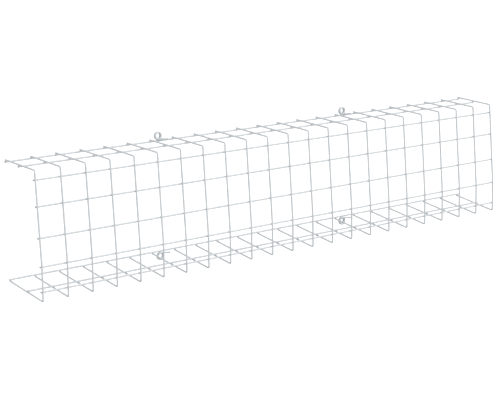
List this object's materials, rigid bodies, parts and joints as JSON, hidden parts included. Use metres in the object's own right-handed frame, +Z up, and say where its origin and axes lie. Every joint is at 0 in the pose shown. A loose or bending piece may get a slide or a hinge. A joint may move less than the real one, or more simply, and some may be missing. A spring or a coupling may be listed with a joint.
{
  "type": "cable tray",
  "caption": "Welded wire mesh channel, C-shaped in section and open at the back and both ends, with wire eyes on its free edges for fixing screws.",
  "frame": {"origin": "in the screw plane, the plane that the four wire eyes lie flat against, half way along the ribs and half way between the upper and the lower eyes", "axes": "+X along the tray, towards the end where the long wires are cut flush; +Y out of the open back, into the wall or desk that it is screwed to; +Z up, from the flange nearer the knee of the front face to the other flange"},
  "size_m": [1.1041, 0.102, 0.2392],
  "materials": {
    "coated_wire": "steel wire with a satin, cool white powder coat"
  },
  "bodies": {
    "root": {"rib_01": "coated_wire", "rib_02": "coated_wire", "rib_03": "coated_wire", "rib_04": "coated_wire", "rib_05": "coated_wire", "rib_06": "coated_wire", "rib_07": "coated_wire", "rib_08": "coated_wire", "rib_09": "coated_wire", "rib_10": "coated_wire", "rib_11": "coated_wire", "rib_12": "coated_wire", "rib_13": "coated_wire", "rib_14": "coated_wire", "rib_15": "coated_wire", "rib_16": "coated_wire", "rib_17": "coated_wire", "rib_18": "coated_wire", "rib_19": "coated_wire", "rib_20": "coated_wire", "rib_21": "coated_wire", "rib_22": "coated_wire", "rib_23": "coated_wire", "top_edge_wire": "coated_wire", "top_middle_wire": "coated_wire", "front_wire_1": "coated_wire", "front_wire_2": "coated_wire", "front_wire_3": "coated_wire", "front_wire_4": "coated_wire", "front_wire_5": "coated_wire", "bottom_middle_wire": "coated_wire", "bottom_edge_wire": "coated_wire", "screw_eye_top_left": "coated_wire", "screw_eye_top_right": "coated_wire", "screw_eye_bottom_left": "coated_wire", "screw_eye_bottom_right": "coated_wire"}
  },
  "joints": []
}
